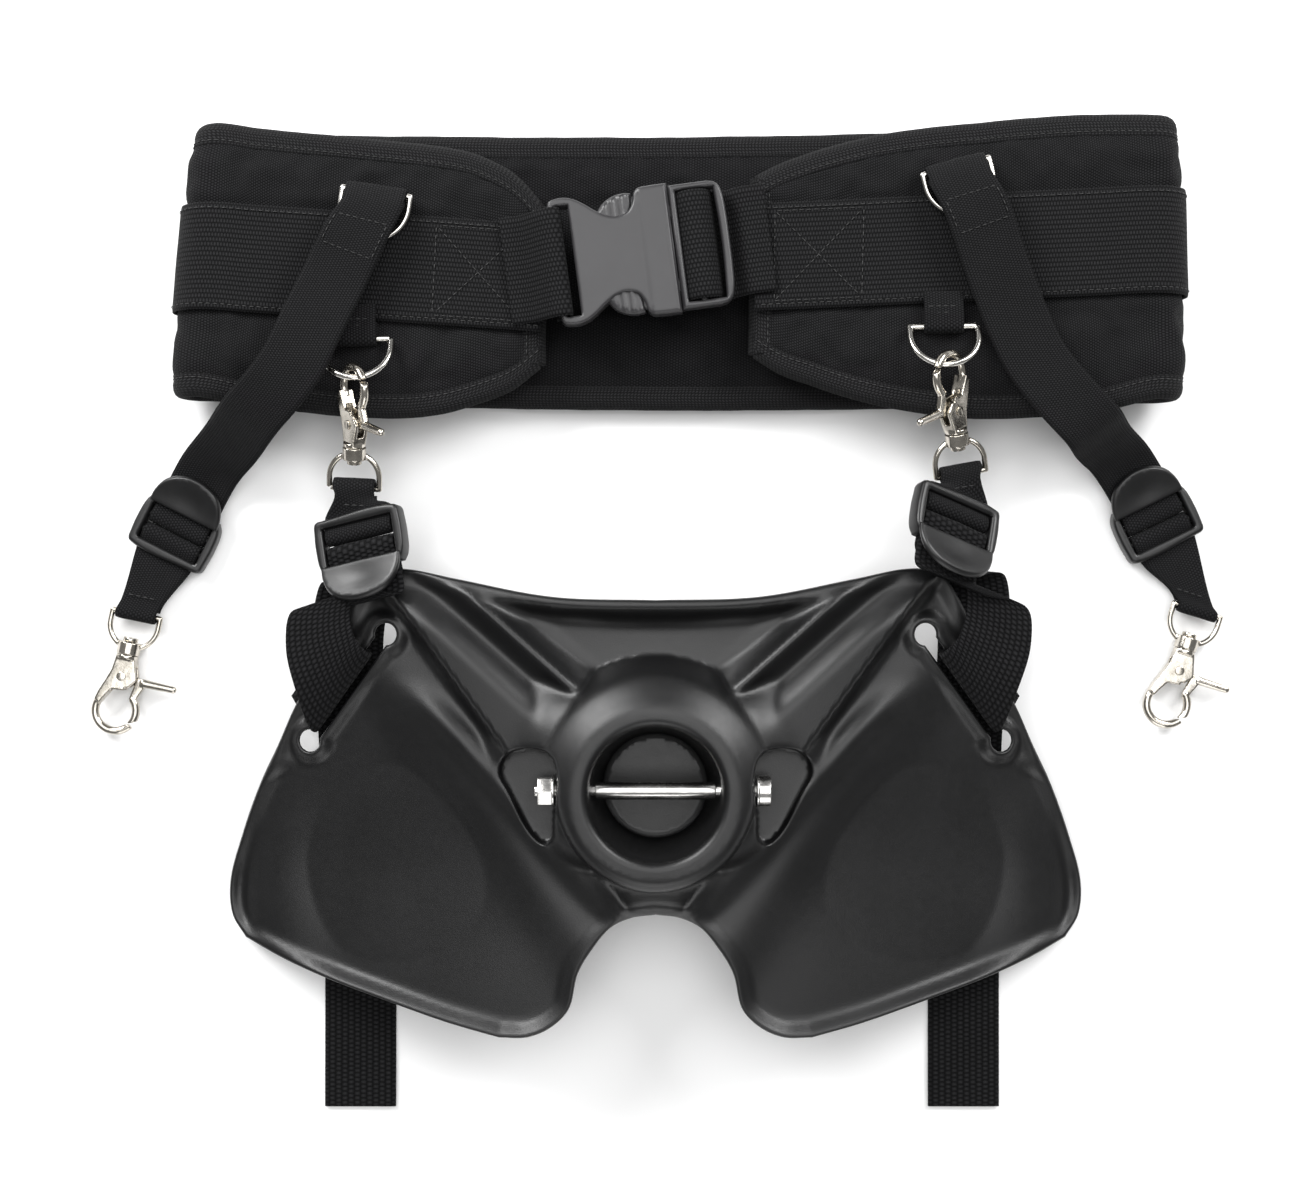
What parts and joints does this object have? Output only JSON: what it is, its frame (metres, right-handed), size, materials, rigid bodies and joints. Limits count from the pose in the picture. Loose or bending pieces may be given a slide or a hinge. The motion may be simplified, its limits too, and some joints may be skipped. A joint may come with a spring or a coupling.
{
  "type": "stand-up fishing fighting belt",
  "caption": "Padded waist belt with a side-release buckle, D rings and swivel snaps, carrying a moulded plate with a gimbal cup for a rod butt.",
  "frame": {"origin": "bottom centre of the bounding box, on the surface the belt lies on", "axes": "+X across the wearer, from the socket side of the buckle to the plug side; +Y from the gimbal plate up to the belt; +Z out of the table, the way the cup opens"},
  "size_m": [0.5486, 0.474, 0.0737],
  "materials": {
    "pack_cloth": "woven nylon pack cloth",
    "foam": "closed cell foam",
    "lining": "knitted mesh",
    "binding": "twill tape",
    "webbing": "ribbed polypropylene webbing",
    "buckle_plastic": "satin moulded acetal",
    "plate_plastic": "fine grained satin",
    "ring_steel": "bright welded wire",
    "snap_nickel": "nickel plated zinc casting",
    "stainless": "plain stainless"
  },
  "bodies": {
    "belt": {"belt_outer_cloth": "pack_cloth", "belt_foam": "foam", "belt_lining": "lining", "lower_binding": "binding", "upper_binding": "binding", "waist_webbing": "webbing", "socket_web": "webbing", "plug_web": "webbing", "buckle_socket": "buckle_plastic", "buckle_plug": "buckle_plastic", "upper_left_ring": "ring_steel", "upper_right_ring": "ring_steel", "upper_left_tab": "webbing", "upper_right_tab": "webbing", "lower_left_tab": "webbing", "lower_right_tab": "webbing"},
    "upper_prong": {"upper_prong": "buckle_plastic"},
    "lower_prong": {"lower_prong": "buckle_plastic"},
    "lower_rings": {"lower_left_ring": "ring_steel", "lower_right_ring": "ring_steel"},
    "drop_eyes": {"drop_left_eye": "snap_nickel", "drop_right_eye": "snap_nickel"},
    "plate_rig": {"gimbal_plate": "plate_plastic", "gimbal_bolt": "stainless", "lock_nut": "stainless", "washer_left": "stainless", "washer_right": "stainless", "drop_left_strap": "webbing", "drop_left_lock": "buckle_plastic", "drop_left_eye_loop": "webbing", "drop_right_strap": "webbing", "drop_right_lock": "buckle_plastic", "drop_right_eye_loop": "webbing"},
    "gimbal_sleeve": {"gimbal_sleeve": "stainless"},
    "side_left_strap": {"side_left_strap": "webbing"},
    "side_left_lock": {"side_left_lock": "buckle_plastic", "side_left_eye_loop": "webbing"},
    "side_left_eye": {"side_left_eye": "snap_nickel"},
    "side_left_hook": {"side_left_hook": "snap_nickel", "side_left_rivet": "snap_nickel", "side_left_trigger_spring": "stainless"},
    "side_left_trigger": {"side_left_trigger": "snap_nickel"},
    "drop_left_hook": {"drop_left_hook": "snap_nickel", "drop_left_rivet": "snap_nickel", "drop_left_trigger_spring": "stainless"},
    "drop_left_trigger": {"drop_left_trigger": "snap_nickel"},
    "side_right_strap": {"side_right_strap": "webbing"},
    "side_right_lock": {"side_right_lock": "buckle_plastic", "side_right_eye_loop": "webbing"},
    "side_right_eye": {"side_right_eye": "snap_nickel"},
    "side_right_hook": {"side_right_hook": "snap_nickel", "side_right_rivet": "snap_nickel", "side_right_trigger_spring": "stainless"},
    "side_right_trigger": {"side_right_trigger": "snap_nickel"},
    "drop_right_hook": {"drop_right_hook": "snap_nickel", "drop_right_rivet": "snap_nickel", "drop_right_trigger_spring": "stainless"},
    "drop_right_trigger": {"drop_right_trigger": "snap_nickel"}
  },
  "joints": [
    {"name": "upper_prong_press", "type": "hinge", "parent": "belt", "child": "upper_prong", "pos_m": [0.00502, 0.18798, 0.0377], "axis": [0, 0, 1], "range_deg": [0, 6], "stiffness_Nm_per_rad": 3},
    {"name": "lower_prong_press", "type": "hinge", "parent": "belt", "child": "lower_prong", "pos_m": [0.00945, 0.15427, 0.0377], "axis": [0, 0, -1], "range_deg": [0, 6], "stiffness_Nm_per_rad": 3},
    {"name": "side_left_strap_swing", "type": "hinge", "parent": "belt", "child": "side_left_strap", "pos_m": [-0.13143, 0.1973, 0.03826], "axis": [-0.989, 0.1478, 0], "range_deg": [0, 75]},
    {"name": "side_left_lock_release", "type": "hinge", "parent": "side_left_strap", "child": "side_left_lock", "pos_m": [-0.23145, 0.04332, 0.0041], "axis": [0.8926, -0.4508, 0], "range_deg": [0, 10]},
    {"name": "side_left_eye_swing", "type": "hinge", "parent": "side_left_lock", "child": "side_left_eye", "pos_m": [-0.25193, 0.0012, 0.0056], "axis": [-0.977, 0.213, 0], "range_deg": [0, 60]},
    {"name": "side_left_swivel", "type": "hinge", "parent": "side_left_eye", "child": "side_left_hook", "pos_m": [-0.25619, -0.01834, 0.0056], "axis": [0.213, 0.977, 0], "continuous": true},
    {"name": "side_left_trigger_pull", "type": "hinge", "parent": "side_left_hook", "child": "side_left_trigger", "pos_m": [-0.25843, -0.0286, 0.0056], "axis": [0, 0, -1], "range_deg": [0, 20], "stiffness_Nm_per_rad": 0.02},
    {"name": "side_right_strap_swing", "type": "hinge", "parent": "belt", "child": "side_right_strap", "pos_m": [0.13737, 0.2092, 0.03826], "axis": [-0.9668, -0.2554, 0], "range_deg": [0, 75]},
    {"name": "side_right_lock_release", "type": "hinge", "parent": "side_right_strap", "child": "side_right_lock", "pos_m": [0.23766, 0.04801, 0.0041], "axis": [0.898, 0.44, 0], "range_deg": [0, 10]},
    {"name": "side_right_eye_swing", "type": "hinge", "parent": "side_right_lock", "child": "side_right_eye", "pos_m": [0.25907, 0.003, 0.0056], "axis": [-0.9511, 0.309, 0], "range_deg": [0, 60]},
    {"name": "side_right_swivel", "type": "hinge", "parent": "side_right_eye", "child": "side_right_hook", "pos_m": [0.25289, -0.01602, 0.0056], "axis": [0.309, 0.9511, 0], "continuous": true},
    {"name": "side_right_trigger_pull", "type": "hinge", "parent": "side_right_hook", "child": "side_right_trigger", "pos_m": [0.24964, -0.02601, 0.0056], "axis": [0, 0, -1], "range_deg": [0, 20], "stiffness_Nm_per_rad": 0.02},
    {"name": "lower_rings_lift", "type": "hinge", "parent": "belt", "child": "lower_rings", "pos_m": [-0.14063, 0.1292, 0.03715], "axis": [-0.9998, -0.022, 0], "range_deg": [0, 7]},
    {"name": "drop_snaps_lift", "type": "hinge", "parent": "lower_rings", "child": "drop_eyes", "pos_m": [-0.14022, 0.1104, 0.04758], "axis": [-0.9998, -0.022, 0], "range_deg": [0, 40]},
    {"name": "plate_lift", "type": "hinge", "parent": "drop_eyes", "child": "plate_rig", "pos_m": [-0.14284, 0.06035, 0.03129], "axis": [-0.9997, -0.0236, 0], "range_deg": [0, 40]},
    {"name": "drop_left_swivel", "type": "hinge", "parent": "drop_eyes", "child": "drop_left_hook", "pos_m": [-0.14184, 0.07934, 0.03747], "axis": [-0.0498, -0.9498, -0.309], "range_deg": [-8, 8]},
    {"name": "drop_left_trigger_pull", "type": "hinge", "parent": "drop_left_hook", "child": "drop_left_trigger", "pos_m": [-0.14132, 0.08932, 0.04072], "axis": [-0.7969, -0.1487, 0.5855], "range_deg": [0, 8], "stiffness_Nm_per_rad": 0.02},
    {"name": "drop_right_swivel", "type": "hinge", "parent": "drop_eyes", "child": "drop_right_hook", "pos_m": [0.13778, 0.08577, 0.03747], "axis": [0.1651, -0.9366, -0.309], "range_deg": [-8, 5]},
    {"name": "drop_right_trigger_pull", "type": "hinge", "parent": "drop_right_hook", "child": "drop_right_trigger", "pos_m": [0.13605, 0.09561, 0.04072], "axis": [-0.6988, 0.11, -0.7068], "range_deg": [0, 8], "stiffness_Nm_per_rad": 0.02},
    {"name": "gimbal_sleeve_spin", "type": "hinge", "parent": "plate_rig", "child": "gimbal_sleeve", "pos_m": [-0.00193, -0.079, 0.0537], "axis": [1, 0, 0], "continuous": true}
  ]
}
